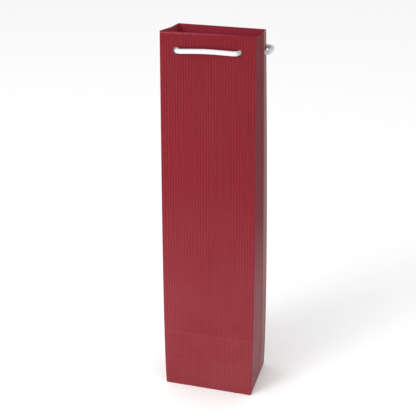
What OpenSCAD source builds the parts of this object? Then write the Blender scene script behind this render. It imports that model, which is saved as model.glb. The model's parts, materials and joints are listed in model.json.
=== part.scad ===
// Single-bottle gift bag: creased paper tube on a folded block bottom, with two stowed cord handles.
// Units are millimetres. Origin at the centre of the base, +Z up, front panel facing -Y.

/* [Bag] */
// Width of the base, left to right
bag_w = 95; // [85:1:130]
// Depth of the base, front to back
bag_d = 65; // [60:1:100]
// Height of the bag, base to folded rim
bag_h = 380; // [340:5:420]
// Width of the mouth at the rim
mouth_w = 92; // [82:1:127]
// Depth of the mouth at the rim
mouth_d = 56; // [52:1:92]
// Thickness of the paper
paper_t = 0.4; // [0.3:0.05:0.6]

/* [Gusset creases] */
// How far the left crease stands outside the flat side, negative is inward
left_crease = -2; // [-4:0.1:2]
// How far the right crease stands outside the flat side, negative is inward
right_crease = 1.7; // [-4:0.1:2]

/* [Rim] */
// Depth of the paper turned in at the rim
hem_h = 40; // [34:1:60]
// Height of the card strips hidden in the rim
card_h = 32; // [28:1:50]
// Thickness of the card strips
card_t = 0.8; // [0.5:0.1:1.2]

/* [Base] */
// How far the front and back base flaps cross the middle of the base
flap_lap = 8; // [4:1:14]
// Depth of the two tucked side flaps
side_flap = 30; // [20:1:36]
// Width of the loose board in the base
board_w = 87; // [70:1:87]
// Depth of the loose board in the base
board_d = 60; // [50:1:60]
// Thickness of the loose board
board_t = 1; // [0.8:0.1:2]
// Width of the glued side seam
seam_w = 14; // [8:1:18]

/* [Handles] */
// Diameter of the handle cord
cord_d = 4.5; // [4:0.5:5]
// Diameter of the punched cord holes
hole_d = 6.5; // [6:0.5:8]
// Distance between the two front holes
hole_span = 60; // [50:1:64]
// Drop of the front holes below the rim
front_drop = 16; // [14:1:18]
// Drop of the side holes below the rim
rear_drop = 21; // [16:1:24]
// Distance of the side holes behind the middle of the gusset
rear_hole_y = 9; // [8:1:10]
// Diameter of the knot on each end of a cord
knot_d = 10; // [8:1:10]
// Height of the stowed knots above the base
knot_z = 230; // [200:5:240]

/* [Colours] */
// Colour of the paper outside
paper_colour = "#8a2f3c"; // [#8a2f3c, #3c5a8a, #2f6a4a]
// Colour of the cord
cord_colour = "#f2eff2"; // [#f2eff2, #d8c9a8]
// Colour of the bare card
card_colour = "#b9ab97"; // [#b9ab97, #e6e2da]

/* [Hidden] */
$fn = 48;

slack = 0.3;               // clearance kept around the cord and under the board
card_bottom = bag_h - paper_t - card_h;
hem_bottom = bag_h - hem_h;
apex_z = bag_d / 2;        // the triangular base creases meet at this height
front_z = bag_h - front_drop;
rear_z = bag_h - rear_drop;
hole_x = hole_span / 2;
cord_r = cord_d / 2;
knot_r = knot_d / 2;
cord_sides = 12;
tail_tip = 8;              // cord end left below each knot
board_z = 3 * paper_t;     // the board lies on three layers of folded paper

// Half width and half depth of the outside of the paper tube at height z.
function half_w(z) = (bag_w - (bag_w - mouth_w) * z / bag_h) / 2;
function half_d(z) = (bag_d - (bag_d - mouth_d) * z / bag_h) / 2;

// Height of a gusset's crease above its flat side: full along the crease, nothing along its edges.
function bulge(crease, y, z) = crease * (1 - abs(y) / half_d(z)) * min(1, z / apex_z);

// A point on the gusset on the right, a given depth below the outside. The left one is its mirror.
function side_point(crease, y, z, depth) = [half_w(z) - depth + bulge(crease, y, z), y, z];

// A point on the front edge (-1), crease (0) or back edge (1) of a gusset layer.
function fold_point(crease, share, z, depth, edge) =
    side_point(crease, share * (half_d(z) - edge), z, depth);

// Route points: round numbers picked by hand. Each handle is drawn for its right half and mirrored
// where it is symmetrical. The stretch outside the bag is the span, the bends through the holes are
// the legs, and the hidden stretches down to the knots are the tails.
front_cord_y = -31.1;
front_tail_y = -20.5;
rear_cord_y = 31.8;
rear_tail_x = 38.5;

front_span_route = [[-26.7, front_cord_y, front_z], [-24, front_cord_y, front_z],
    [-12, front_cord_y, front_z + 0.5], [0, front_cord_y, front_z + 0.8],
    [12, front_cord_y, front_z + 0.5], [24, front_cord_y, front_z], [26.7, front_cord_y, front_z]];
front_leg_route = [[hole_x, -24.8, front_z], [hole_x, -28, front_z], [hole_x - 0.4, -29.9, front_z],
    [hole_x - 1.6, front_cord_y, front_z], [hole_x - 3, front_cord_y, front_z]];
front_tail_route = [[hole_x, -24.5, front_z], [hole_x, -23.6, front_z], [hole_x, -21.8, front_z - 0.8],
    [hole_x, -20.8, front_z - 2.8], [hole_x, front_tail_y, front_z - 7],
    [hole_x, front_tail_y, 330], [hole_x, front_tail_y, 300], [hole_x, front_tail_y, 270],
    [hole_x, front_tail_y, knot_z + knot_r + slack]];
rear_half_route = [[49.6, 14.2, rear_z], [49.8, 18, rear_z + 0.3], [49.9, 24, rear_z + 0.7],
    [48.8, 29.8, rear_z + 1.1], [44.4, 33.2, rear_z + 1.4], [36, 33.4, rear_z + 1.6],
    [24, 32.8, rear_z + 1.8], [12, 32, rear_z + 1.9], [0, rear_cord_y, rear_z + 2]];
rear_leg_route = [[42.9, rear_hole_y, rear_z], [46.8, rear_hole_y, rear_z],
    [48.6, 9.8, rear_z], [49.4, 11.6, rear_z], [49.6, 13.4, rear_z]];
rear_tail_route = [[42.6, rear_hole_y, rear_z], [41.7, rear_hole_y, rear_z],
    [39.8, rear_hole_y, rear_z - 0.8], [38.8, rear_hole_y, rear_z - 2.8],
    [rear_tail_x, rear_hole_y, rear_z - 7], [rear_tail_x, rear_hole_y, 330],
    [rear_tail_x, rear_hole_y, 300], [rear_tail_x, rear_hole_y, 270],
    [rear_tail_x, rear_hole_y, knot_z + knot_r + slack]];

// Sheet solid: an outline that reads clockwise from outside, cut into triangles, and a copy of it
// moved inwards.
module sheet(outline, triangles, inward) {
    n = len(outline);
    polyhedron(
        points = concat(outline, [for (p = outline) p + inward]),
        faces = concat(
            triangles,
            [for (t = triangles) [t[2] + n, t[1] + n, t[0] + n]],
            [for (i = [0 : n - 1]) [(i + 1) % n, i, i + n]],
            [for (i = [0 : n - 1]) [(i + 1) % n, i + n, (i + 1) % n + n]]),
        convexity = 4);
}

// Unit vector along v.
function unit(v) = v / norm(v);

// Direction of a route at point i.
function heading(route, i) =
    unit(route[min(i + 1, len(route) - 1)] - route[max(i - 1, 0)]);

// One ring of the tube around point i of a route, in a fixed sideways frame.
function ring(route, i, side_hint) =
    let (along = heading(route, i),
        across = unit(cross(along, side_hint)),
        up = cross(across, along))
    [for (k = [0 : cord_sides - 1])
        route[i] + cord_r * (cos(360 * k / cord_sides) * across + sin(360 * k / cord_sides) * up)];

// Tube of the cord's diameter swept along a route.
module cord_tube(route, side_hint) {
    n = len(route);
    polyhedron(
        points = [for (i = [0 : n - 1]) each ring(route, i, side_hint)],
        faces = concat(
            [[for (k = [0 : cord_sides - 1]) k]],
            [[for (k = [cord_sides - 1 : -1 : 0]) (n - 1) * cord_sides + k]],
            [for (i = [0 : n - 2]) for (k = [0 : cord_sides - 1])
                [i * cord_sides + k, (i + 1) * cord_sides + k,
                 (i + 1) * cord_sides + (k + 1) % cord_sides, i * cord_sides + (k + 1) % cord_sides]]),
        convexity = 6);
}

// The same thing on the left and on the right.
module both_sides() {
    children();
    mirror([1, 0, 0]) children();
}

// Punched holes for the front handle, through every layer of the front.
module front_holes() {
    both_sides()
        translate([hole_x, 0, front_z])
            rotate([90, 0, 0])
                cylinder(d = hole_d, h = bag_d);
}

// Punched holes for the rear handle, through every layer of both gussets.
module rear_holes() {
    both_sides()
        translate([0, rear_hole_y, rear_z])
            rotate([0, 90, 0])
                cylinder(d = hole_d, h = bag_w);
}

// Flat sheet that lies a given depth inside the front (face -1) or back (face 1), between two
// heights, with its side edges moved in by edge.
module face_sheet(face, z_low, z_high, depth, thick, edge) {
    corners = [[face, z_low], [face, z_high], [-face, z_high], [-face, z_low]];
    outline = [for (c = corners) [c[0] * (half_w(c[1]) - edge), face * (half_d(c[1]) - depth), c[1]]];
    sheet(outline, [[0, 1, 2], [0, 2, 3]], [0, -face * thick, 0]);
}

// Creased sheet a given depth inside the gusset on the right, between two heights above the apex.
module side_sheet(crease, z_low, z_high, depth, thick, edge) {
    outline = concat(
        [for (share = [-1, 0, 1]) fold_point(crease, share, z_high, depth, edge)],
        [for (share = [1, 0, -1]) fold_point(crease, share, z_low, depth, edge)]);
    sheet(outline, [[0, 1, 4], [0, 4, 5], [1, 2, 3], [1, 3, 4]], [-thick, 0, 0]);
}

// Whole gusset on the right: the crease runs down to the apex, where it parts to the two base corners.
module side_wall(crease, z_high, thick) {
    apex = side_point(crease, 0, apex_z, 0);
    outline = concat(
        [for (share = [-1, 0, 1]) fold_point(crease, share, z_high, 0, thick)],
        [fold_point(crease, 1, 0, 0, thick), fold_point(crease, -1, 0, 0, thick)]);
    inward = [-thick, 0, 0];
    n = 5;
    points = concat(outline, [apex], [for (p = concat(outline, [apex])) p + inward]);
    outside = [[0, 1, 5], [0, 5, 4], [1, 2, 3], [1, 3, 5], [3, 4, 5]];
    polyhedron(
        points = points,
        faces = concat(
            outside,
            [for (t = outside) [t[2] + n + 1, t[1] + n + 1, t[0] + n + 1]],
            [for (i = [0 : n - 1]) [(i + 1) % n, i, i + n + 1]],
            [for (i = [0 : n - 1]) [(i + 1) % n, i + n + 1, (i + 1) % n + n + 1]]),
        convexity = 4);
}

// The right-hand thing as it is, or mirrored to the left.
module on_side(side) {
    if (side > 0) children();
    else mirror([1, 0, 0]) children();
}

module gusset(side, crease) {
    color(paper_colour)
        difference() {
            on_side(side)
                side_wall(crease, bag_h - paper_t, paper_t);
            rear_holes();
        }
}

module front_panel() {
    color(paper_colour)
        difference() {
            face_sheet(-1, 0, bag_h - paper_t, 0, paper_t, 0);
            front_holes();
        }
}

module back_panel() {
    color(paper_colour)
        face_sheet(1, 0, bag_h - paper_t, 0, paper_t, 0);
}

module left_gusset() {
    gusset(-1, left_crease);
}

module right_gusset() {
    gusset(1, right_crease);
}

// Turned-in layer of the front or back, with the fold that closes the rim over the card strip.
module face_hem(face) {
    depth = paper_t + card_t;
    face_sheet(face, hem_bottom, bag_h - paper_t, depth, paper_t, paper_t + slack);
    face_sheet(face, bag_h - paper_t, bag_h, 0, depth + paper_t, 0);
}

module front_hem() {
    color(paper_colour)
        difference() {
            face_hem(-1);
            front_holes();
        }
}

module back_hem() {
    color(paper_colour)
        face_hem(1);
}

// Turned-in layer of a gusset, with the fold along its rim.
module side_hem(side, crease) {
    edge = 2 * paper_t + card_t;
    glue = slack / 3;
    color(paper_colour)
        difference() {
            on_side(side)
                union() {
                    side_sheet(crease, hem_bottom, bag_h - paper_t, paper_t + glue, paper_t, edge + slack);
                    side_sheet(crease, bag_h - paper_t, bag_h, 0, 2 * paper_t + glue, edge);
                }
            rear_holes();
        }
}

module left_hem() {
    side_hem(-1, left_crease);
}

module right_hem() {
    side_hem(1, right_crease);
}

module front_card() {
    color(card_colour)
        difference() {
            face_sheet(-1, card_bottom, bag_h - paper_t, paper_t, card_t, paper_t + slack);
            front_holes();
        }
}

module back_card() {
    color(card_colour)
        face_sheet(1, card_bottom, bag_h - paper_t, paper_t, card_t, paper_t + slack);
}

// Glue flap that runs on from the back panel and is stuck inside the left gusset.
module seam_flap() {
    z_low = apex_z;
    z_high = hem_bottom;
    glue = slack / 3;
    corners = [[seam_w, z_low + seam_w], [seam_w, z_high - seam_w], [0, z_high], [0, z_low]];
    outline = [for (c = corners)
        side_point(left_crease, half_d(c[1]) - paper_t - c[0], c[1], paper_t + glue)];
    color(paper_colour)
        on_side(-1)
            sheet(outline, [[0, 1, 2], [0, 2, 3]], [-paper_t, 0, 0]);
}

// Base flap folded in from the front or back, past the middle of the base.
module face_base_flap(face, z) {
    x_half = half_w(0) - paper_t - abs(left_crease) / 4;
    y_edge = face * (half_d(z + paper_t) - paper_t);
    color(paper_colour)
        translate([0, (y_edge - face * flap_lap) / 2, z])
            linear_extrude(height = paper_t)
                square([2 * x_half, abs(y_edge) + flap_lap], center = true);
}

module front_base_flap() {
    face_base_flap(-1, 0);
}

module back_base_flap() {
    face_base_flap(1, paper_t);
}

// Base flap tucked in from a gusset, mitred towards its free edge.
module side_base_flap(side) {
    x_edge = half_w(0) - paper_t - abs(left_crease) / 4;
    y_edge = half_d(3 * paper_t) - paper_t - slack;
    mitre = side_flap / 2;
    color(paper_colour)
        translate([0, 0, 2 * paper_t])
            linear_extrude(height = paper_t)
                polygon([[side * x_edge, -y_edge], [side * (x_edge - side_flap), -y_edge + mitre],
                    [side * (x_edge - side_flap), y_edge - mitre], [side * x_edge, y_edge]]);
}

module left_base_flap() {
    side_base_flap(-1);
}

module right_base_flap() {
    side_base_flap(1);
}

module bottom_board() {
    color(card_colour)
        translate([0, 0, board_z])
            linear_extrude(height = board_t)
                offset(r = 1)
                    square([board_w - 2, board_d - 2], center = true);
}

module front_handle_span() {
    color(cord_colour)
        cord_tube(front_span_route, [0, 0, 1]);
}

module front_handle_legs() {
    color(cord_colour)
        both_sides()
            cord_tube(front_leg_route, [0, 0, 1]);
}

module front_handle_tails() {
    color(cord_colour)
        both_sides()
            cord_tube(front_tail_route, [1, 0, 0]);
}

// A tied knot with the short cord end that hangs from it.
module knot(x, y) {
    color(cord_colour)
        translate([x, y, knot_z]) {
            sphere(d = knot_d);
            translate([0, 0, -knot_r - tail_tip])
                cylinder(d = cord_d, h = tail_tip + knot_r);
        }
}

module front_handle_knots() {
    for (side = [-1, 1])
        knot(side * hole_x, front_tail_y);
}

// Whole rear span: the right half of the route, then the left half back to front.
function mirrored(route) =
    concat(route, [for (i = [len(route) - 2 : -1 : 0]) [-route[i][0], route[i][1], route[i][2]]]);

module rear_handle_span() {
    color(cord_colour)
        cord_tube(mirrored(rear_half_route), [0, 0, 1]);
}

module rear_handle_legs() {
    color(cord_colour)
        both_sides()
            cord_tube(rear_leg_route, [0, 0, 1]);
}

module rear_handle_tails() {
    color(cord_colour)
        both_sides()
            cord_tube(rear_tail_route, [0, 1, 0]);
}

module rear_handle_knots() {
    for (side = [-1, 1])
        knot(side * rear_tail_x, rear_hole_y);
}

front_panel();
back_panel();
left_gusset();
right_gusset();
front_hem();
back_hem();
left_hem();
right_hem();
front_card();
back_card();
seam_flap();
front_base_flap();
back_base_flap();
left_base_flap();
right_base_flap();
bottom_board();
front_handle_span();
front_handle_legs();
front_handle_tails();
front_handle_knots();
rear_handle_span();
rear_handle_legs();
rear_handle_tails();
rear_handle_knots();
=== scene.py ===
import json
import math

import bpy
import numpy as np
from mathutils import Matrix, Vector

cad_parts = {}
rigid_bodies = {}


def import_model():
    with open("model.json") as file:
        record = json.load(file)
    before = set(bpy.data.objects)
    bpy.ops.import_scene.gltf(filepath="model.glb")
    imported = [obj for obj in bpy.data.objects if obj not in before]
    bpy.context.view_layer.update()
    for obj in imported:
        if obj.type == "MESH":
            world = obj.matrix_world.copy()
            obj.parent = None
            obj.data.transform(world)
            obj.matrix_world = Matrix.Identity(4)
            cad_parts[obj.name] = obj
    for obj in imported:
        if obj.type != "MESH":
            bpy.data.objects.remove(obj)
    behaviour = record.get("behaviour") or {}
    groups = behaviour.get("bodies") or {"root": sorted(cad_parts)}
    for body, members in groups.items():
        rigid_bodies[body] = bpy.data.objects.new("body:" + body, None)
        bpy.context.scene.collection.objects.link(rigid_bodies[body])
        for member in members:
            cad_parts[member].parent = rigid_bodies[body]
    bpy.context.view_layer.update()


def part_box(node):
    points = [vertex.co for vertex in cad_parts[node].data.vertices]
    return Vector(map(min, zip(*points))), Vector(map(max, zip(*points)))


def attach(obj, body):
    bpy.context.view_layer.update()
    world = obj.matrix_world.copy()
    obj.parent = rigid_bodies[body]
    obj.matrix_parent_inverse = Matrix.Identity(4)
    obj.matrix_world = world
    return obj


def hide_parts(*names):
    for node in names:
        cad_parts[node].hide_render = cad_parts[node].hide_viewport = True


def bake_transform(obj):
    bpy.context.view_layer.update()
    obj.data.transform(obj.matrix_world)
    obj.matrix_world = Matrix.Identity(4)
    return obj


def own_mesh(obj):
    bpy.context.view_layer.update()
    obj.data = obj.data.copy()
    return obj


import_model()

mm = 0.001


# sizes, read from the frame
def lowOf(node, axis):
    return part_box(node)[0][axis]


def highOf(node, axis):
    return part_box(node)[1][axis]


bagWidth = highOf("front_panel", 0) - lowOf("front_panel", 0)
bagDepth = highOf("back_panel", 1) - lowOf("front_panel", 1)
mouthWidth = highOf("front_hem", 0) - lowOf("front_hem", 0)
mouthDepth = highOf("back_hem", 1) - lowOf("front_hem", 1)
bagHeight = highOf("front_hem", 2)
hemDepth = bagHeight - lowOf("front_hem", 2)
apexHeight = bagDepth / 2  # where the folds of the block bottom meet
cordRadius = (highOf("front_handle_span", 1) - lowOf("front_handle_span", 1)) / 2
holeSpread = highOf("front_handle_legs", 0) - cordRadius  # each front hole, left and right of the middle


def halfWidth(z):
    return (bagWidth - (bagWidth - mouthWidth) * z / bagHeight) / 2


def halfDepth(z):
    return (bagDepth - (bagDepth - mouthDepth) * z / bagHeight) / 2


def objectMode():
    if bpy.context.object and bpy.context.object.mode != "OBJECT":
        bpy.ops.object.mode_set(mode="OBJECT")


def pick(*pieces):
    objectMode()
    bpy.ops.object.select_all(action="DESELECT")
    for piece in pieces:
        piece.select_set(True)
    bpy.context.view_layer.objects.active = pieces[0]


# the primitive just added, named, with its size and place put into its mesh
def settled(name):
    piece = bpy.context.object
    piece.name = name
    piece.data.name = name
    pick(piece)
    bpy.ops.object.transform_apply(location=True, rotation=True, scale=True)
    return piece


# selects the faces or edges that pass a test and stays in edit mode
def mark(piece, kind, test):
    pick(piece)
    bpy.ops.object.mode_set(mode="EDIT")
    bpy.ops.mesh.select_mode(type=kind)
    bpy.ops.mesh.select_all(action="DESELECT")
    bpy.ops.object.mode_set(mode="OBJECT")
    mesh = piece.data
    for part in mesh.polygons if kind == "FACE" else mesh.edges:
        part.select = bool(test(mesh, part))
    bpy.ops.object.mode_set(mode="EDIT")


def runsAlong(axis):
    def test(mesh, edge):
        a, b = (mesh.vertices[i].co for i in edge.vertices)
        return abs((b - a).normalized()[axis]) > 0.99
    return test


def useModifier(piece, kind, **settings):
    pick(piece)
    modifier = piece.modifiers.new(kind.title(), kind)
    for key, value in settings.items():
        setattr(modifier, key, value)
    bpy.ops.object.modifier_apply(modifier=modifier.name)


def smoothBy(piece, angle):
    pick(piece)
    bpy.ops.object.shade_smooth_by_angle(angle=math.radians(angle))


def pointsOf(mesh):
    points = np.empty(len(mesh.vertices) * 3)
    mesh.vertices.foreach_get("co", points)
    return points.reshape(-1, 3)


def dress(piece, material):
    piece.data.materials.clear()
    piece.data.materials.append(material)


cameraSettings = {"turn": 16.3, "rise": 21.8, "roll": -0.35, "distance": 0.802, "lens": 67.24,
                  "aim": (-0.0083, 0, 0.198)}


def addCamera(settings):
    turn, rise, roll = (math.radians(settings[key]) for key in ("turn", "rise", "roll"))
    back = Vector((math.sin(turn) * math.cos(rise), -math.cos(turn) * math.cos(rise), math.sin(rise)))
    right = Vector((0, 0, 1)).cross(back).normalized()
    up = back.cross(right)
    tilted = right * math.cos(roll) + up * math.sin(roll)
    bpy.ops.object.camera_add()
    camera = bpy.context.object
    camera.location = Vector(settings["aim"]) + back * settings["distance"]
    camera.rotation_euler = Matrix((tilted, back.cross(tilted), back)).transposed().to_euler()
    camera.data.lens = settings["lens"]
    camera.data.clip_start = 0.01
    bpy.context.scene.camera = camera


addCamera(cameraSettings)
print("camera set")


cordSettings = {
    "sides": 24,
    "ringGap": 0.5 * mm,
    "plaits": 12,  # strands seen around the cord
    "plaitLength": 5.5 * mm,  # along the cord, for one turn of a strand
    "relief": 0.03,  # share of the radius
    "squeezed": 0.93,  # share of the radius left outside a hole
    "lift": 0.112,  # how far a handle is drawn up
    "legRings": 200,
    "legPacked": 1 * mm,  # height of a leg before it is drawn out
}


# an even, smooth run of points through the given ones
def smoothRun(points, gap):
    points = np.array(points, float)
    ends = np.vstack([2 * points[0] - points[1], points, 2 * points[-1] - points[-2]])
    fine = []
    for i in range(1, len(ends) - 2):
        before, a, b, after = ends[i - 1:i + 3]
        for t in np.linspace(0, 1, 24, endpoint=False):
            fine.append(0.5 * (2 * a + (b - before) * t + (2 * before - 5 * a + 4 * b - after) * t ** 2
                               + (3 * a - before - 3 * b + after) * t ** 3))
    fine = np.array(fine + [points[-1]])
    travelled = np.concatenate([[0], np.cumsum(np.linalg.norm(np.diff(fine, axis=0), axis=1))])
    steps = np.linspace(0, travelled[-1], max(3, int(travelled[-1] / gap) + 1))
    return np.column_stack([np.interp(steps, travelled, fine[:, k]) for k in range(3)])


# plaited surface: two families of strands crossing over each other
def plait(turn, along, settings):
    over = np.cos(settings["plaits"] / 2 * turn + 2 * math.pi * along / settings["plaitLength"])
    under = np.cos(settings["plaits"] / 2 * turn - 2 * math.pi * along / settings["plaitLength"])
    return settings["relief"] * (np.maximum(over, under) - 0.45)


# tube along a run; radius is one number or one for each ring; the ends are closed and rounded
def cordTube(name, run, radius, along=None, domed=(True, True)):
    settings = cordSettings
    count, sides = len(run), settings["sides"]
    radius = np.full(count, radius) if np.isscalar(radius) else np.array(radius)
    if along is None:
        along = np.concatenate([[0], np.cumsum(np.linalg.norm(np.diff(run, axis=0), axis=1))])
    heading = np.gradient(run, axis=0)
    heading /= np.linalg.norm(heading, axis=1)[:, None]
    across = np.cross(heading[0], (0.31, 0.11, 0.94) if abs(heading[0][2]) < 0.8 else (0.2, 0.97, 0.1))
    turn = np.linspace(0, 2 * math.pi, sides, endpoint=False)
    rings, ringAlong = [], []

    def addRing(centre, ahead, size, place):
        nonlocal across
        across = across - ahead * across.dot(ahead)
        across /= np.linalg.norm(across)
        beside = np.cross(ahead, across)
        reach = size * (1 + plait(turn, place, settings) * min(1, size / radius[0]))
        spoke = np.cos(turn)[:, None] * across + np.sin(turn)[:, None] * beside
        rings.append(centre + reach[:, None] * spoke)
        ringAlong.append(place)

    dome = np.radians([84, 66, 46, 24])
    if domed[0]:
        for angle in dome:
            addRing(run[0] - heading[0] * radius[0] * math.sin(angle), heading[0],
                    radius[0] * math.cos(angle), along[0] - radius[0] * angle)
    for i in range(count):
        addRing(run[i], heading[i], radius[i], along[i])
    if domed[1]:
        for angle in dome[::-1]:
            addRing(run[-1] + heading[-1] * radius[-1] * math.sin(angle), heading[-1],
                    radius[-1] * math.cos(angle), along[-1] + radius[-1] * angle)
    total = len(rings)
    points = np.vstack(rings + [rings[0].mean(axis=0)[None], rings[-1].mean(axis=0)[None]])
    faces, places = [], []
    for i in range(total - 1):
        for k in range(sides):
            n = (k + 1) % sides
            faces.append((i * sides + k, i * sides + n, (i + 1) * sides + n, (i + 1) * sides + k))
            places += [(k, i), (k + 1, i), (k + 1, i + 1), (k, i + 1)]
    for k in range(sides):
        n = (k + 1) % sides
        faces.append((total * sides, n, k))
        places += [(k + 0.5, 0), (k + 1, 0), (k, 0)]
        faces.append((total * sides + 1, (total - 1) * sides + k, (total - 1) * sides + n))
        places += [(k + 0.5, total - 1), (k, total - 1), (k + 1, total - 1)]
    mesh = bpy.data.meshes.new(name)
    mesh.from_pydata(points.tolist(), [], faces)
    layer = mesh.uv_layers.new(name="strands")
    layer.data.foreach_set("uv", np.array([(k / sides, ringAlong[i] / settings["plaitLength"])
                                           for k, i in places]).ravel())
    piece = bpy.data.objects.new(name, mesh)
    bpy.context.scene.collection.objects.link(piece)
    mesh.polygons.foreach_set("use_smooth", [True] * len(mesh.polygons))
    return piece


# short upright tube, folded up inside the bend at the hole: its rings are packed so that an eased blend would
# spread them evenly
def drawnLeg(name, foot, radius):
    rings = cordSettings["legRings"]
    share = np.linspace(0, 1, rings)
    eased = 0.5 - np.sin(np.arcsin(1 - 2 * share) / 3)
    run = np.column_stack([np.full(rings, foot[0]), np.full(rings, foot[1]),
                           foot[2] + eased * cordSettings["legPacked"]])
    return cordTube(name, run, radius, along=share * cordSettings["lift"], domed=(False, False))


def mirrored(points):
    return [(-x, y, z) for x, y, z in points]


def straightDown(x, y, top):
    return [(x, y, z) for z in (top, 0.330, 0.300, 0.270, 0.2353)]


# routes: the same points as in the CAD source, in metres
frontLine = -0.0311
frontRun = [(-0.0286, -0.0296, 0.364), (-0.0276, -0.0306, 0.364), (-0.0258, frontLine, 0.364),
            (-0.024, frontLine, 0.364), (-0.012, frontLine, 0.3645), (0, frontLine, 0.3648),
            (0.012, frontLine, 0.3645), (0.024, frontLine, 0.364), (0.0258, frontLine, 0.364),
            (0.0276, -0.0306, 0.364), (0.0286, -0.0296, 0.364)]
frontBend = [(0.030, -0.0205, 0.357), (0.030, -0.0208, 0.3612), (0.030, -0.0218, 0.3632),
             (0.030, -0.0245, 0.364), (0.0296, -0.0278, 0.364), (0.0286, -0.0296, 0.364)]
frontTail = straightDown(0.030, -0.0205, 0.357)
rearHalf = [(0.0486, 0.0098, 0.359), (0.0494, 0.0116, 0.359), (0.0496, 0.0142, 0.359),
            (0.0498, 0.018, 0.3593), (0.0499, 0.024, 0.3597), (0.0488, 0.0298, 0.3601),
            (0.0444, 0.0332, 0.3604), (0.036, 0.0334, 0.3606), (0.024, 0.0328, 0.3608),
            (0.012, 0.032, 0.3609), (0, 0.0318, 0.361)]
rearBend = [(0.0385, 0.009, 0.352), (0.0388, 0.009, 0.3562), (0.0398, 0.009, 0.3582),
            (0.0426, 0.009, 0.359), (0.0468, 0.009, 0.359), (0.0486, 0.0098, 0.359)]
rearTail = straightDown(0.0385, 0.009, 0.352)

# an overhand knot drawn up tight, with a short end below it
knotSettings = {
    "ring": 2.35 * mm,
    "swing": 1.35 * mm,
    "strand": 1.75 * mm,  # radius of the drawn-up cord
    "squeeze": 0.92,
    "open": 0.42,  # radians of the loop left out where the two ends leave it
    "middle": 5.5 * mm,  # below the tail's end, as are the next two
    "endFrom": 15.5 * mm,
    "endTo": 18 * mm,
    "ringGap": 0.45 * mm,
}


# head is where the tail ends; inward is the side that the knot lies on, 1 or -1
def knotRun(head, inward):
    t = np.linspace(2 * math.pi - knotSettings["open"], knotSettings["open"], 70)
    reach = knotSettings["ring"] + knotSettings["swing"] * np.cos(3 * t)
    loop = np.column_stack([inward * (knotSettings["ring"] - reach * np.cos(2 * t)),
                            knotSettings["swing"] * np.sin(3 * t),
                            reach * np.sin(2 * t) * knotSettings["squeeze"]])
    middle = np.array([0, 0, -knotSettings["middle"]])
    above = [np.array([0, 0, 1 * mm]), np.array([0, 0, 0])]
    below = [np.array([0, 0, -knotSettings[end]]) for end in ("endFrom", "endTo")]
    return smoothRun(np.array(above + list(loop[4:-4:3] + middle) + below) + head, knotSettings["ringGap"])


# one cord: its span outside, and on each side a bend, a short packed leg, a tail and a knot
def makeHandle(side, run, bend, tail):
    joint, handle, knots = side + "_handle_lift", side + "_handle", side + "_knots"
    squeezed = cordSettings["squeezed"]
    ready = smoothRun(run, cordSettings["ringGap"])
    span = cordTube(side + "_cord_span", ready, cordRadius)
    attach(span, handle)
    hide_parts(side + "_handle_span")
    legPieces = []
    for word, flip in (("right", False), ("left", True)):
        bendPoints = mirrored(bend) if flip else bend
        tailPoints = mirrored(tail) if flip else tail
        bendRun = smoothRun(bendPoints, cordSettings["ringGap"])
        narrowing = np.interp(np.linspace(0, 1, len(bendRun)), (0, 0.55, 0.8), (1, 1, squeezed)) * cordRadius
        through = cordTube(f"{side}_cord_{word}_bend", bendRun, narrowing, domed=(False, True))
        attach(through, "bag")
        leg = drawnLeg(f"{side}_cord_{word}_leg", bendPoints[-1], cordRadius * squeezed)
        tailRun = smoothRun(tailPoints, cordSettings["ringGap"])
        hanging = cordTube(f"{side}_cord_{word}_tail", tailRun, cordRadius, domed=(False, False))
        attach(hanging, "bag")
        knot = cordTube(f"{side}_cord_{word}_knot", knotRun(np.array(tailPoints[-1]), 1 if flip else -1),
                        knotSettings["strand"])
        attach(knot, knots)
        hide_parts(side + "_handle_legs")
        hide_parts(side + "_handle_tails")
        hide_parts(side + "_handle_knots")
        legPieces += [through, leg]
        x, y, z = bendPoints[-1]
        z + cordSettings["legPacked"]
        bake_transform(leg)
        keep = 1 - cordSettings["lift"] / (tailPoints[0][2] - tailPoints[-1][2])
        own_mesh(hanging)


rearRun = rearHalf + mirrored(reversed(rearHalf[:-1]))
makeHandle("front", frontRun, frontBend, frontTail)
makeHandle("rear", rearRun, rearBend, rearTail)
print("cords laid")


# a socket that Python operators can work on
class Value:
    def __init__(self, bench, socket):
        self.bench = bench
        self.socket = socket

    def maths(self, operation, *others):
        return self.bench.node("ShaderNodeMath", {"operation": operation}, dict(enumerate((self, *others))))

    def __add__(self, other):
        return self.maths("ADD", other)

    def __radd__(self, other):
        return self.maths("ADD", other)

    def __mul__(self, other):
        return self.maths("MULTIPLY", other)

    def __rmul__(self, other):
        return self.maths("MULTIPLY", other)

    def __sub__(self, other):
        return self.maths("SUBTRACT", other)

    def __rsub__(self, other):
        return self.bench.node("ShaderNodeMath", {"operation": "SUBTRACT"}, {0: other, 1: self})

    def __truediv__(self, other):
        return self.maths("DIVIDE", other)

    def __pow__(self, other):
        return self.maths("POWER", other)

    def __abs__(self):
        return self.maths("ABSOLUTE")

    def held(self):  # kept between 0 and 1
        return self.maths("MAXIMUM", 0.0).maths("MINIMUM", 1.0)

    def near(self, distance):  # 1 at nought, fading to 0 at the distance
        return (1.0 - abs(self) / distance).held()


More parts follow.
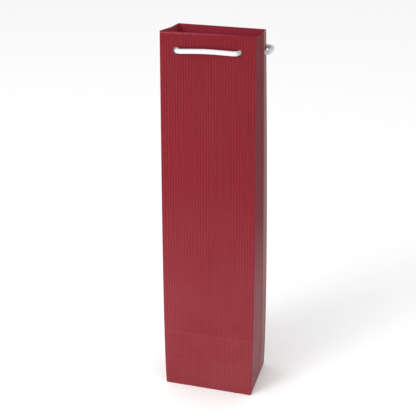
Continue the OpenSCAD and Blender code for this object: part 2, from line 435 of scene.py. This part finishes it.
# a material on the bench, with the few nodes that the finishes need
class Bench:
    def __init__(self, name):
        self.material = bpy.data.materials.new(name)
        self.material.use_nodes = True
        self.tree = self.material.node_tree
        self.tree.nodes.clear()

    def node(self, kind, settings=None, inputs=None, output=0):
        made = self.tree.nodes.new(kind)
        for key, value in (settings or {}).items():
            setattr(made, key, value)
        for key, value in (inputs or {}).items():
            if isinstance(value, Value):
                self.tree.links.new(value.socket, made.inputs[key])
            else:
                made.inputs[key].default_value = value
        return Value(self, made.outputs[output])

    def parts(self, vector):
        split = self.node("ShaderNodeSeparateXYZ", None, {0: vector}).socket.node
        return [Value(self, socket) for socket in split.outputs]

    def vector(self, x, y, z):
        return self.node("ShaderNodeCombineXYZ", None, {0: x, 1: y, 2: z})

    def place(self):
        return self.node("ShaderNodeTexCoord", output=3)

    def map(self, name):
        return self.node("ShaderNodeUVMap", {"uv_map": name})

    def noise(self, vector, scale, detail=3.0):
        return self.node("ShaderNodeTexNoise", None, {"Vector": vector, "Scale": scale, "Detail": detail})

    def mix(self, share, first, second):
        return self.node("ShaderNodeMix", {"data_type": "RGBA"}, {0: share, 6: first, 7: second}, 2)

    def bump(self, height, distance, strength=1.0):
        return self.node("ShaderNodeBump", None,
                         {"Height": height, "Distance": distance, "Strength": strength})

    def finish(self, colour, roughness, normal, others):
        inputs = {"Base Color": colour, "Roughness": roughness, "Normal": normal}
        inputs.update(others)
        shader = self.node("ShaderNodeBsdfPrincipled", None, inputs)
        out = self.tree.nodes.new("ShaderNodeOutputMaterial")
        self.tree.links.new(shader.socket, out.inputs["Surface"])
        return self.material


# ribbed wine-red paper
paperSettings = {
    # groove and crown: darker in the rib grooves and lighter on the crowns, painted shade and light for the
    # relief of the ribs
    "shadedGroove": (0.102, 0.0055, 0.010, 1),
    "crown": (0.200, 0.0105, 0.018, 1),
    "fleck": (0.30, 0.05, 0.07, 1),
    "paintedInsideLight": (0.46, 0.045, 0.075, 1),  # painted light: the turned-in hem and the inside, painted lighter to stand for light reaching into the bag
    "worn": (0.36, 0.09, 0.12, 1),
    "roughness": 0.50,
    "specular": 0.07,
    "floorLitColour": (0.225, 0.046, 0.052, 1),  # painted light: lighter, greyer lower wall, standing for light bounced up from the floor
    "paintedSheen": 0.45,  # painted sheen: a coat on the rear halves of the gussets and low on their front halves
    "coatRoughness": 0.38,
    "grain": 0.16 * mm,  # depth of ribs and fibres in the bump
}

# how far each edge and crease is rubbed
rubbed = {
    "corner": 0.40,
    "rim": 0.9,
    "sole": 0.7,
    "ridge": 0.45,  # the upright crease of a gusset
    "toe": 0.6,  # the folds of the block bottom
    "lowLine": 0.20,  # fold lines across the faces
    "highLine": 0.34,
}


# rib counts ribs across; run is metres along them; wear, the painted sheen, the painted inside light and the
# painted floor light are 0 to 1
def paperFinish(bench, rib, run, wear, place, paintedSheen=0.0, paintedInsideLight=0.0, floorLight=0.0):
    settings = paperSettings
    drift = bench.noise(bench.vector(rib * 0.9, run * 14.0, 0.0), 1.0, 2.0)
    wave = (rib * 2.0 * math.pi).maths("COSINE") * 0.5 + 0.5
    streak = bench.noise(bench.vector(rib * 2.6, run * 22.0, 3.0), 1.0, 4.0)
    fibre = bench.noise(bench.vector(rib * 9.0, run * 420.0, 7.0), 1.0, 5.0)
    fleck = bench.noise(place, 900.0, 4.0)
    # the rib wave paints shade into the grooves; streak and drift add real tone that differs from rib to rib
    crown = (wave ** 0.8 * 0.62 + streak * 0.42 + drift * 0.16 - 0.18).held()
    colour = bench.mix(crown, settings["shadedGroove"], settings["crown"])
    colour = bench.mix((fleck - 0.5).held() * 0.5, colour, settings["fleck"])
    # painted light: the hem and the inside lightened
    colour = bench.mix(paintedInsideLight * (crown * 0.7 + 0.55), colour, settings["paintedInsideLight"])
    # painted light: the lower wall lightened and greyed for light bounced up from the floor
    colour = bench.mix(floorLight * (crown * 0.5 + 0.6), colour, settings["floorLitColour"])
    colour = bench.mix(wear, colour, settings["worn"])
    roughness = (fibre * 0.16 + (1.0 - crown) * 0.12 + (settings["roughness"] - 0.10) + wear * 0.1).held()
    height = wave * 0.7 + fibre * 0.14 + streak * 0.12 + fleck * 0.10
    normal = bench.bump(height, settings["grain"], 0.55)
    return bench.finish(colour, roughness, normal, {"Specular IOR Level": settings["specular"],
                                                    "Coat Weight": paintedSheen,
                                                    "Coat Roughness": settings["coatRoughness"]})


# the bag's own paper; printed is 1 for the side that shows and 0 for the raw side, which is painted lighter
# as painted light inside the bag
def shellPaper(name, printed):
    bench = Bench(name)
    place = bench.place()
    x, y, z = bench.parts(place)
    rib, run = bench.parts(bench.map("ribs"))[:2]
    share, gusset = bench.parts(bench.map("panel"))[:2]
    scuff = bench.noise(place, 260.0, 4.0) * 1.5 - 0.25
    drift = bench.noise(place, 18.0, 3.0)
    corner = ((1.0 - abs(share)) * (1.0 - gusset * 0.3)).near(0.028)
    rim = (z - bagHeight).near(0.9 * mm) * rubbed["rim"]
    sole = z.near(1.4 * mm) * rubbed["sole"]
    ridge = share.near(0.03) * gusset * rubbed["ridge"]
    toe = (z / apexHeight + abs(share) - 1.0).near(0.045) * gusset * rubbed["toe"]
    lowLine = (z - apexHeight).near(0.8 * mm) * rubbed["lowLine"]
    highLine = (z - 2 * apexHeight).near(0.9 * mm) * rubbed["highLine"]
    lines = (lowLine + highLine) * (1.0 - gusset)
    wear = ((corner * rubbed["corner"] + rim + sole + ridge + toe + lines) * scuff.held() * 0.75).held()
    # painted sheen: coat mask on the rear halves of the gussets and low on their front halves, faint at the
    # crease, strongest on the right gusset
    rearHalf = (share * 12.0).held()
    lowDown = ((0.20 - z) / 0.09).held()
    sheenMask = (rearHalf + (1.0 - rearHalf) * lowDown * 0.8) * gusset * (1.0 - share.near(0.10) * 0.8)
    sheenMask = sheenMask * (bench.noise(bench.vector(rib * 0.7, run * 9.0, 5.0), 1.0, 3.0) * 0.8 + 0.6)
    sheenMask = sheenMask * ((x * 100.0).held() * 0.75 + 0.25) * (printed * paperSettings["paintedSheen"])
    # painted light: the turned-in hem and the raw inside side painted lighter, for light reaching into the
    # bag
    insideLightMask = ((run - bagHeight - 1.5 * mm) / mm).held() * 0.55 + (1.0 - printed) * 0.55
    # painted light: lighter towards the bottom of the outside, for light bounced up from the floor
    floorLight = ((0.24 - z) / 0.18).held() * (drift * 0.7 + 0.15) * printed
    return paperFinish(bench, rib, run, wear, place, sheenMask.held(), insideLightMask.held(), floorLight)


# the bag: one blank of paper, cut, mapped, folded, slumped and punched
shellSettings = {
    "paper": 0.4 * mm,
    "corner": 0.9 * mm,  # rounding of the upright corners
    "baseFold": 0.8 * mm,  # rounding where the wall turns under
    "frontFold": 0.8 * mm,  # the rim closes over a card strip at the front and back
    "sideFold": 0.45 * mm,
    "frontRibs": 34,
    "sideRibs": 23,
    "ribHeight": 0.06 * mm,
    "seamWidth": 14 * mm,
    "seamGap": 0.15 * mm,  # glue
    "leftCrease": -2 * mm,  # inwards
    "rightCrease": 2.2 * mm,  # outwards
    "faceCreases": (apexHeight, 2 * apexHeight),  # left by the flat-packing folds
    "wander": 0.3 * mm,
    "belly": 1.8 * mm,  # the bag is a little wider a third of the way up
    "tilt": {"left front": 1.6 * mm, "right front": -0.8 * mm,  # how far each corner of the rim is raised
             "left back": 0.5 * mm, "right back": -2.2 * mm},
    "pinch": 3.0 * mm,  # the right back corner of the rim leans in
}
holeSettings = {"radius": 3.25 * mm, "sides": 40, "frontReach": 12 * mm, "sideReach": 16 * mm}
stripSettings = {
    "thick": 0.7 * mm,
    "shorter": 3 * mm,  # than the mouth is wide
    "lower": 0.4 * mm,  # than the card, to clear the fold
    "inward": 0.8 * mm,  # from the outside of the paper to the middle of the strip
    "edge": 0.12 * mm,
}


# run of the paper from the turned-under edge: end of that turn, of the wall, of the rim's turn, of it all
def blankLength(settings):
    wall = bagHeight - settings["frontFold"] - settings["baseFold"]
    under = settings["baseFold"] * math.pi / 2
    rim = settings["frontFold"] * math.pi
    return under, under + wall, under + wall + rim, under + wall + rim + hemDepth - settings["frontFold"]


# the flat tube of paper: panels open at both ends, cut into rows and columns for shaping
def cutBlank(settings):
    under, wallEnd, rimEnd, total = blankLength(settings)
    bpy.ops.object.select_all(action="DESELECT")
    bpy.ops.mesh.primitive_cube_add(size=1, location=(0, 0, total / 2), scale=(bagWidth, bagDepth, total))
    blank = settled("bag_shell")
    mark(blank, "FACE", lambda mesh, face: abs(face.normal.z) > 0.9)
    bpy.ops.mesh.delete(type="FACE")
    mark(blank, "EDGE", runsAlong(2))
    bpy.ops.mesh.bevel(offset=settings["corner"], segments=3)
    rows = [under * share for share in (0.33, 0.66, 1)]
    rows += list(np.arange(under + 1.4 * mm, 37 * mm, 1.5 * mm))
    rows += list(np.arange(45 * mm, wallEnd - 5 * mm, 9 * mm))
    for crease in settings["faceCreases"]:
        height = crease - settings["baseFold"] + under
        rows += [height - 1.1 * mm, height, height + 1.1 * mm]
    rows += list(np.linspace(wallEnd, rimEnd, 8)) + list(np.linspace(rimEnd, total, 6)[1:-1])
    rows = sorted(rows)
    rows = [rows[0]] + [row for before, row in zip(rows, rows[1:]) if row - before > 0.2 * mm]
    for row in rows:
        bpy.ops.mesh.select_all(action="SELECT")
        bpy.ops.mesh.bisect(plane_co=(0, 0, row), plane_no=(0, 0, 1))
    mark(blank, "EDGE", runsAlong(0))
    bpy.ops.mesh.subdivide(number_cuts=settings["frontRibs"] * 4 - 1)
    mark(blank, "EDGE", runsAlong(1))
    bpy.ops.mesh.subdivide(number_cuts=settings["sideRibs"] * 4 - 1)
    objectMode()
    return blank


# two maps laid out while the blank is still flat: ribs counted across and metres along,
# and the share across a panel with 0 for the faces and 1 for the gussets
def mapBlank(blank, settings):
    mesh = blank.data
    points = pointsOf(mesh)
    loops = np.empty(len(mesh.loops), int)
    mesh.loops.foreach_get("vertex_index", loops)
    normals = np.empty(len(mesh.polygons) * 3)
    mesh.polygons.foreach_get("normal", normals)
    sizes = np.empty(len(mesh.polygons), int)
    mesh.polygons.foreach_get("loop_total", sizes)
    normals = np.repeat(normals.reshape(-1, 3), sizes, axis=0)
    spot = points[loops]
    gusset = np.abs(normals[:, 0]) > np.abs(normals[:, 1])
    ribs = np.where(gusset, spot[:, 1] * settings["sideRibs"] / bagDepth,
                    spot[:, 0] * settings["frontRibs"] / bagWidth)
    share = np.where(gusset, spot[:, 1] / (bagDepth / 2), spot[:, 0] / (bagWidth / 2))
    for name, first, second in (("ribs", ribs, spot[:, 2]), ("panel", share, gusset.astype(float))):
        layer = mesh.uv_layers.get(name) or mesh.uv_layers.new(name=name)
        layer.data.foreach_set("uv", np.column_stack([first, second]).ravel())


# 1 at nought, falling straight to 0 at the width
def tent(distance, width):
    return np.maximum(0, 1 - np.abs(distance) / width)


# how the standing paper leans and gives, for any spot in the straight bag
def slump(x, y, z, settings):
    across, deep = x / halfWidth(z), y / halfDepth(z)
    up = np.clip(z / bagHeight, 0, 1)
    tilt = settings["tilt"]
    left = (tilt["left front"] * (1 - deep) + tilt["left back"] * (1 + deep)) / 2
    right = (tilt["right front"] * (1 - deep) + tilt["right back"] * (1 + deep)) / 2
    lean = np.clip((1 + across) / 2, 0, 1) * np.clip((1 + deep) / 2, 0, 1)
    return (x + across * settings["belly"] * np.sin(math.pi * up ** 0.6) - lean * settings["pinch"] * up ** 2,
            y, z + (left * (1 - across) + right * (1 + across)) / 2 * up ** 3)


# where each spot of the flat blank comes to lie on the standing bag
def foldBlank(blank, settings):
    under, wallEnd, rimEnd, total = blankLength(settings)
    flat = pointsOf(blank.data)
    x, y, run = flat[:, 0], flat[:, 1], flat[:, 2]
    across, deep = x / (bagWidth / 2), y / (bagDepth / 2)
    onFace = np.abs(deep) > 0.9999
    onSide = np.abs(across) > 0.9999
    fold = np.where(onFace, settings["frontFold"], np.where(onSide, settings["sideFold"],
                    (settings["frontFold"] + settings["sideFold"]) / 2))
    base = settings["baseFold"]
    underTurn = np.clip(1 - run / under, 0, 1) * math.pi / 2
    rimTurn = np.clip((run - wallEnd) / (rimEnd - wallEnd), 0, 1) * math.pi
    wall = np.clip((run - under) / (wallEnd - under), 0, 1)
    hem = np.clip(run - rimEnd, 0, None)
    z = base * (1 - np.sin(underTurn)) + wall * (bagHeight - fold - base) + fold * np.sin(rimTurn) - hem
    tuck = base * (1 - np.cos(underTurn))
    depthX = tuck + settings["sideFold"] * (1 - np.cos(rimTurn))
    depthY = tuck + settings["frontFold"] * (1 - np.cos(rimTurn))
    px = x * (halfWidth(z) - depthX) / (bagWidth / 2)
    py = y * (halfDepth(z) - depthY) / (bagDepth / 2)

    # creased gussets: flat triangle above the base, two halves that meet in a crease over it
    crease = np.where(x > 0, settings["rightCrease"], settings["leftCrease"])
    height = z / apexHeight
    ridge = 1 - np.abs(py) / halfDepth(z)
    bulge = crease * np.minimum(height, ridge)
    sideRibs = np.cos(2 * math.pi * deep / 2 * settings["sideRibs"]) * settings["ribHeight"]
    px += np.where(onSide, np.sign(x) * (bulge + sideRibs * (1 - deep ** 8)), 0)

    # faces: faint creases, a little wander of the paper between its corners, ribs
    calm = np.sin(math.pi * np.clip(z / bagHeight, 0, 1)) ** 0.8 * (1 - across ** 2)
    wave = (np.sin(3.1 * across + z / 0.045 + np.sign(y)) + 0.7 * np.sin(5.3 * across - z / 0.031 + 1.7)
            + 0.5 * np.cos(7.9 * across + z / 0.083))
    dent = sum(tent(z - line, 1.1 * mm) for line in settings["faceCreases"]) * 0.12 * mm
    faceRibs = np.cos(2 * math.pi * across / 2 * settings["frontRibs"]) * settings["ribHeight"]
    offset = settings["wander"] * wave * calm * 0.6 - dent + faceRibs * (1 - across ** 8)
    py += np.where(onFace, np.sign(y) * offset, 0)
    blank.data.vertices.foreach_set("co", np.column_stack(slump(px, py, z, settings)).ravel())
    blank.data.update()


# two holes in the front and one in each gusset, where the cords pass through the paper
def punchHoles(sheets, settings):
    front, side = frontBend[4], rearBend[4]
    cutters = []
    for spread in (-holeSpread, holeSpread):
        sideways = math.copysign(halfWidth(side[2]), spread)
        bpy.ops.mesh.primitive_cylinder_add(vertices=settings["sides"], radius=settings["radius"],
                                            depth=settings["frontReach"], rotation=(math.pi / 2, 0, 0),
                                            location=(spread, -halfDepth(front[2]), front[2]))
        cutters.append(settled("punch"))
        bpy.ops.mesh.primitive_cylinder_add(vertices=settings["sides"], radius=settings["radius"],
                                            depth=settings["sideReach"], rotation=(0, math.pi / 2, 0),
                                            location=(sideways, side[1], side[2]))
        cutters.append(settled("punch"))
    pick(*cutters)
    bpy.ops.object.join()
    punch = bpy.context.object
    for sheet in sheets:
        useModifier(sheet, "BOOLEAN", operation="DIFFERENCE", object=punch, solver="EXACT", use_self=True)
    bpy.data.objects.remove(punch)


# a stiff strip that lies inside the folded rim, bent with the paper; face is -1 front, 1 back
def cardStrip(name, face, settings):
    low, high = lowOf("front_card", 2), highOf("front_card", 2) - settings["lower"]
    bpy.ops.object.select_all(action="DESELECT")
    bpy.ops.mesh.primitive_cube_add(size=1, location=(0, face * (mouthDepth / 2), (low + high) / 2),
                                    scale=(mouthWidth - settings["shorter"], settings["thick"], high - low))
    strip = settled(name)
    mark(strip, "EDGE", runsAlong(0))
    bpy.ops.mesh.subdivide(number_cuts=60)
    mark(strip, "EDGE", runsAlong(2))
    bpy.ops.mesh.subdivide(number_cuts=10)
    objectMode()
    flat = pointsOf(strip.data)
    x, z = flat[:, 0], flat[:, 2]
    inward = settings["inward"] - (flat[:, 1] * face - mouthDepth / 2)
    y = face * (halfDepth(z) - inward)
    strip.data.vertices.foreach_set("co", np.column_stack(slump(x, y, z, shellSettings)).ravel())
    strip.data.update()
    return strip


# the glued edge of the back face: it lies on the inside of the left gusset and bends with it
def seamSheet(settings):
    low, high = lowOf("seam_flap", 2), highOf("seam_flap", 2)
    wide, middle, half = settings["seamWidth"], (low + high) / 2, (high - low) / 2
    bpy.ops.object.select_all(action="DESELECT")
    bpy.ops.mesh.primitive_cube_add(size=1, location=(0, 0, middle),
                                    scale=(settings["paper"], wide, high - low))
    sheet = settled("seam_sheet")
    mark(sheet, "EDGE", runsAlong(1))
    bpy.ops.mesh.subdivide(number_cuts=6)
    mark(sheet, "EDGE", runsAlong(2))
    bpy.ops.mesh.subdivide(number_cuts=60)
    objectMode()
    flat = pointsOf(sheet.data)
    free = wide / 2 - flat[:, 1]
    z = middle + (flat[:, 2] - middle) * (half - free) / half
    y = halfDepth(z) - settings["paper"] - settings["seamGap"] - free
    dip = -settings["leftCrease"] * np.minimum(z / apexHeight, 1 - np.abs(y) / halfDepth(z))
    x = flat[:, 0] + settings["paper"] * 1.5 + settings["seamGap"] + dip - halfWidth(z)
    sheet.data.vertices.foreach_set("co", np.column_stack(slump(x, y, z, settings)).ravel())
    sheet.data.update()
    return sheet


shell = cutBlank(shellSettings)
mapBlank(shell, shellSettings)
foldBlank(shell, shellSettings)
dress(shell, shellPaper("wine paper, printed side", 1.0))
# the raw side is painted lighter: painted light inside the bag
shell.data.materials.append(shellPaper("wine paper, raw side, painted lighter", 0.0))
useModifier(shell, "SOLIDIFY", thickness=shellSettings["paper"], offset=-1, use_even_offset=True,
            material_offset=1, material_offset_rim=1)
frontStrip = cardStrip("front_card_strip", -1, stripSettings)
backStrip = cardStrip("back_card_strip", 1, stripSettings)
punchHoles([shell, frontStrip], holeSettings)
for strip, node in ((frontStrip, "front_card"), (backStrip, "back_card")):
    useModifier(strip, "BEVEL", width=stripSettings["edge"], segments=1, limit_method="ANGLE")
    smoothBy(strip, 40)
    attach(strip, "bag")
    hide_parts(node)
seam = seamSheet(shellSettings)
smoothBy(seam, 40)
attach(seam, "bag")
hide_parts("seam_flap")
smoothBy(shell, 32)
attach(shell, "bag")
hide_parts("front_panel", "back_panel", "left_gusset", "right_gusset",
            "front_hem", "back_hem", "left_hem", "right_hem")
print("bag folded:", len(shell.data.polygons), "faces")


# for the plain flaps: ribs counted across x (0) or y (1)
def flapPaper(name, axis):
    bench = Bench(name)
    place = bench.place()
    parts = bench.parts(place)
    rib = parts[axis] * (shellSettings["frontRibs"] / bagWidth)
    scuff = bench.noise(place, 180.0, 4.0)
    wear = ((scuff - 0.52) * 0.8).held() + (abs(parts[1 - axis]) - 32 * mm).near(1 * mm) * 0.15
    return paperFinish(bench, rib, parts[1 - axis] + parts[2], wear, place)


def greyBoard():
    bench = Bench("bare grey board")
    place = bench.place()
    x, y, z = bench.parts(place)
    pulp = bench.noise(bench.vector(x * 1.0, y * 2.4, z * 2.4), 420.0, 6.0)
    cloud = bench.noise(place, 45.0, 3.0)
    speck = (bench.noise(place, 1500.0, 2.0) - 0.62).held() * 5.0
    colour = bench.mix((pulp * 0.7 + cloud * 0.5 - 0.1).held(), (0.36, 0.31, 0.25, 1), (0.60, 0.54, 0.45, 1))
    colour = bench.mix(speck.held(), colour, (0.20, 0.16, 0.13, 1))
    return bench.finish(colour, (pulp * 0.2 + 0.72).held(), bench.bump(pulp + cloud * 0.3, 0.12 * mm, 0.6),
                        {"Specular IOR Level": 0.25})


def whiteCord():
    bench = Bench("plaited white cord")
    place = bench.place()
    around, along = bench.parts(bench.map("strands"))[:2]
    turns = cordSettings["plaits"] / 2 * 2 * math.pi
    over = (around * turns + along * 2.0 * math.pi).maths("COSINE")
    under = (around * turns - along * 2.0 * math.pi).maths("COSINE")
    strand = over.maths("MAXIMUM", under) * 0.5 + 0.5
    yarn = bench.noise(bench.vector(around * 60.0, along * 9.0, 0.0), 1.0, 4.0)
    fuzz = bench.noise(place, 2400.0, 3.0)
    # darker where a strand dips under the next: painted shade between the strands, with yarn and fuzz tone
    shade = (strand * 0.65 + yarn * 0.35 + fuzz * 0.2 - 0.1).held()
    colour = bench.mix(shade, (0.46, 0.44, 0.47, 1), (0.67, 0.66, 0.68, 1))
    height = strand * 0.5 + yarn * 0.5 + fuzz * 0.3
    return bench.finish(colour, (0.62 + yarn * 0.15).held(), bench.bump(height, 0.18 * mm, 0.5),
                        {"Specular IOR Level": 0.3, "Sheen Weight": 0.3, "Sheen Roughness": 0.5})


cordFinish = whiteCord()
for piece in bpy.data.objects:
    if "_cord_" in piece.name:
        dress(piece, cordFinish)
faceFlap = flapPaper("flap paper, ribs front to back", 0)
sideFlap = flapPaper("flap paper, ribs side to side", 1)
board = greyBoard()
dress(frontStrip, board)
dress(backStrip, board)
dress(seam, sideFlap)
finishes = {"front_base_flap": faceFlap, "back_base_flap": faceFlap, "left_base_flap": sideFlap,
            "right_base_flap": sideFlap, "bottom_board": board}
for node, material in finishes.items():
    for slot in bpy.data.objects[node].material_slots:
        slot.material = material
print("finishes on")

studioSettings = {
    "floor": 14.0,
    "sky": 0.97,
    "key": {"place": (-0.95, -1.35, 1.5), "aim": (0, 0, 0.2), "size": 0.9, "power": 15.0},
    "low fill": {"place": (-0.25, -0.62, 0.10), "aim": (0, 0, 0.06), "size": 0.5, "power": 3.2},
}


def addFloor(settings):
    bpy.ops.object.select_all(action="DESELECT")
    bpy.ops.mesh.primitive_plane_add(size=settings["floor"], location=(0, 3, 0))
    floor = settled("studio_floor")
    bench = Bench("pale floor")
    place = bench.place()
    grain = bench.noise(place, 30.0, 3.0)
    colour = bench.mix(grain, (0.93, 0.93, 0.93, 1), (0.96, 0.96, 0.96, 1))
    dress(floor, bench.finish(colour, grain * 0.1 + 0.8, bench.bump(grain, 0.1 * mm, 0.1),
                              {"Specular IOR Level": 0.1}))


def addLamp(name, settings):
    place, aim = Vector(settings["place"]), Vector(settings["aim"])
    bpy.ops.object.light_add(type="AREA", location=place)
    lamp = bpy.context.object
    lamp.name = name
    lamp.data.shape = "DISK"
    lamp.data.size = settings["size"]
    lamp.data.energy = settings["power"]
    lamp.rotation_euler = (aim - place).to_track_quat("-Z", "Y").to_euler()


def addSky(settings):
    world = bpy.data.worlds.new("studio sky")
    world.use_nodes = True
    sky = world.node_tree.nodes["Background"]
    sky.inputs["Color"].default_value = (1, 1, 1, 1)
    sky.inputs["Strength"].default_value = settings["sky"]
    bpy.context.scene.world = world


addFloor(studioSettings)
addSky(studioSettings)
for lamp in ("key", "low fill"):
    addLamp(lamp, studioSettings[lamp])
bpy.context.scene.view_settings.view_transform = "Standard"
print("studio set")
